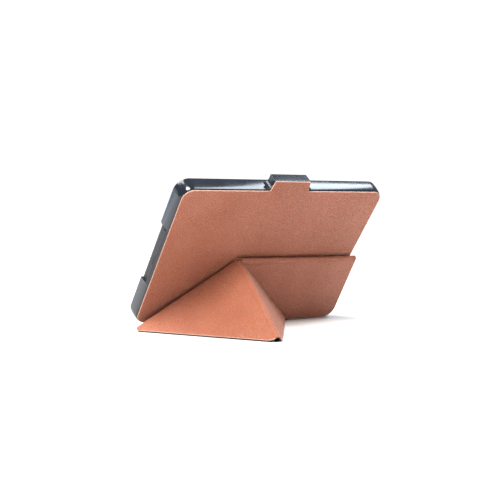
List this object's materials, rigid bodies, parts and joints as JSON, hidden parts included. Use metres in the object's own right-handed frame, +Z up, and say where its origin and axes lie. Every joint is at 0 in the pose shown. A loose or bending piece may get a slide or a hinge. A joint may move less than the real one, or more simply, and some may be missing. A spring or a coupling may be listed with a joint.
{
  "type": "e-reader in an origami stand case",
  "caption": "Electronic reading tablet in a hard shell case, propped in landscape on the folded triangular stand of its leather cover.",
  "frame": {"origin": "on the surface it stands on, under the middle of the standing object's box", "axes": "+X along the reader's long edge, to the right seen from behind; +Y from the stand towards the screen side; +Z up"},
  "size_m": [0.1653, 0.1133, 0.1067],
  "materials": {
    "leather": "pebbled brown leather",
    "lining": "black microfibre",
    "board": "greyboard",
    "shell": "moulded polycarbonate, semi-gloss",
    "magnet": "nickel-plated magnet",
    "reader_plastic": "soft-touch moulded plastic",
    "bezel": "fine moulded texture",
    "light_guide": "clear acrylic with a matte face",
    "eink": "matte paper-like display",
    "flex": "polyimide flex",
    "frame_metal": "cast magnesium, fine blast",
    "battery_foil": "laminated pouch foil",
    "lead": "insulated wires and plug",
    "pcb": "solder-masked board",
    "shield_metal": "tinned steel",
    "switch": "moulded component",
    "led": "light pipe",
    "screw": "zinc-plated steel",
    "button": "moulded button"
  },
  "bodies": {
    "reader_in_case": {"case_shell": "shell", "back_leather": "leather", "tab_magnet": "magnet", "reader_rear_cover": "reader_plastic", "reader_bezel": "bezel", "light_guide": "light_guide", "eink_panel": "eink", "led_strip": "flex", "display_flex": "flex", "mid_frame": "frame_metal", "battery": "battery_foil", "battery_lead": "lead", "main_board": "pcb", "processor_shield": "shield_metal", "radio_shield": "shield_metal", "usb_socket": "shield_metal", "power_switch": "switch", "charge_led": "led", "wifi_antenna": "flex", "wake_sensor": "switch", "board_screws": "screw", "frame_screws": "screw"},
    "power_button": {"power_button": "button"},
    "spine": {"spine_leather": "leather", "spine_board": "board", "spine_lining": "lining"},
    "lower_half": {"lower_leather": "leather", "lower_board": "board", "lower_lining": "lining"},
    "flap": {"flap_leather": "leather", "flap_board": "board", "flap_lining": "lining"},
    "left_triangle": {"left_leather": "leather", "left_board": "board", "left_lining": "lining", "wake_magnet": "magnet"},
    "right_triangle": {"right_leather": "leather", "right_board": "board", "right_lining": "lining", "closing_magnet": "magnet"}
  },
  "joints": [
    {"name": "cover_swing", "type": "hinge", "parent": "reader_in_case", "child": "spine", "pos_m": [0.00008, 0.05091, 0.0043], "axis": [1, 0, 0], "range_deg": [0, 192.2]},
    {"name": "lower_hinge", "type": "hinge", "parent": "spine", "child": "lower_half", "pos_m": [0.00008, 0.04247, 0.00004], "axis": [1, 0, 0], "range_deg": [0, 172]},
    {"name": "flap_crease", "type": "hinge", "parent": "lower_half", "child": "flap", "pos_m": [0.00008, 0.00937, 0.04743], "axis": [1, 0, 0], "range_deg": [-179.1, 0]},
    {"name": "left_crease", "type": "hinge", "parent": "lower_half", "child": "left_triangle", "pos_m": [-0.08242, 0.04247, 0.00004], "axis": [0.7373, -0.3855, 0.5548], "range_deg": [-84.38, 0]},
    {"name": "right_crease", "type": "hinge", "parent": "flap", "child": "right_triangle", "pos_m": [-0.01935, 0.00924, 0.04734], "axis": [0.7254, 0.3838, -0.5714], "range_deg": [0, 83.32]},
    {"name": "power_button_press", "type": "slide", "parent": "reader_in_case", "child": "power_button", "axis": [1, 0, 0], "range_m": [0, 0.0004], "stiffness_N_per_m": 1500, "springref_m": -0.0003}
  ],
  "couplings": [
    {"joint": "lower_hinge", "follows": "cover_swing", "ratio": 0.8948},
    {"joint": "flap_crease", "follows": "cover_swing", "ratio": -0.9318},
    {"joint": "left_crease", "follows": "cover_swing", "ratio": -0.439},
    {"joint": "right_crease", "follows": "cover_swing", "ratio": 0.4335}
  ]
}
